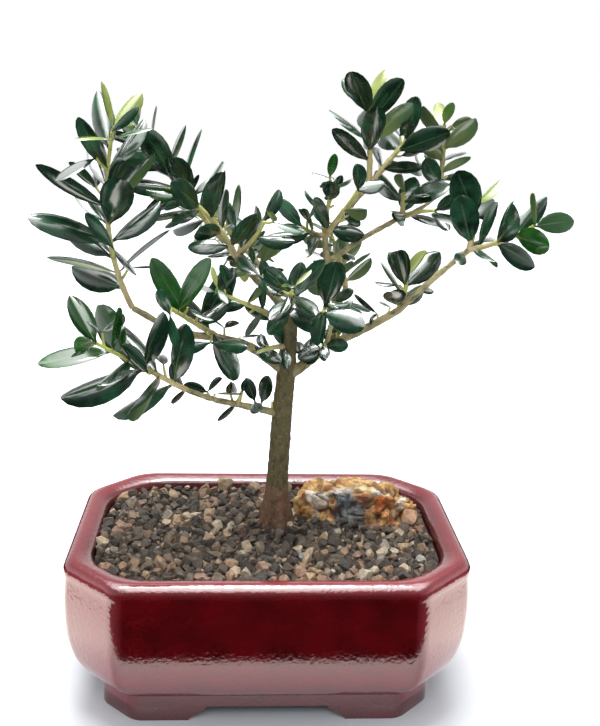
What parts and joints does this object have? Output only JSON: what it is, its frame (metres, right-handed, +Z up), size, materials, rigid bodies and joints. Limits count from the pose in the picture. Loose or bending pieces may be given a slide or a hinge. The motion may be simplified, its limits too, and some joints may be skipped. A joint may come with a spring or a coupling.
{
  "type": "potted olive bonsai",
  "caption": "Small olive bonsai with a slender leaning trunk, spreading boughs and an open leafy crown, in a low glazed pot with cut corners, gravel and an accent rock.",
  "frame": {"origin": "on the floor under the middle of the whole plant's box", "axes": "+Z up, +X to the right of the plant as seen from its front, +Y away from the viewer"},
  "size_m": [0.259, 0.1636, 0.3232],
  "materials": {
    "glaze": "glossy dark red glaze, paler at the rim and edges",
    "gravel": "loose angular grey-brown and tan gravel",
    "rock": "rough ochre stone with cream veins and dark slate patches",
    "bark": "thin grey-brown bark, greenish on the trunk",
    "leaves": "glossy leathery dark green leaves on tan twigs"
  },
  "bodies": {
    "root": {"pot": "glaze", "soil": "gravel", "rock": "rock", "trunk": "bark", "low_left_inner_bough": "bark", "low_left_outer_bough": "bark", "left_inner_bough": "bark", "left_outer_bough": "bark", "leader_bough": "bark", "right_fork_bough": "bark", "right_inner_bough": "bark", "right_outer_bough": "bark", "upper_right_lower_bough": "bark", "upper_right_middle_bough": "bark", "upper_right_upper_bough": "bark", "middle_right_inner_bough": "bark", "middle_right_outer_bough": "bark", "back_bough": "bark", "back_right_bough": "bark", "far_left_foliage": "leaves", "low_left_foliage": "leaves", "right_foliage": "leaves", "top_spire_foliage": "leaves", "leader_foliage": "leaves", "left_front_foliage": "leaves", "front_rosette": "leaves", "middle_right_spire_foliage": "leaves", "top_right_foliage": "leaves", "right_upper_foliage": "leaves", "leader_side_foliage": "leaves", "right_inner_foliage": "leaves", "leader_right_foliage": "leaves", "inner_spray": "leaves", "upper_right_inner_foliage": "leaves", "upper_right_front_foliage": "leaves", "middle_right_upper_foliage": "leaves", "middle_right_lower_foliage": "leaves", "centre_front_foliage": "leaves", "centre_left_foliage": "leaves", "fork_tuft": "leaves", "fork_upper_tuft": "leaves", "trunk_tuft": "leaves", "low_left_tuft": "leaves", "back_left_foliage": "leaves", "back_foliage": "leaves", "back_right_foliage": "leaves", "back_middle_foliage": "leaves"}
  },
  "joints": []
}
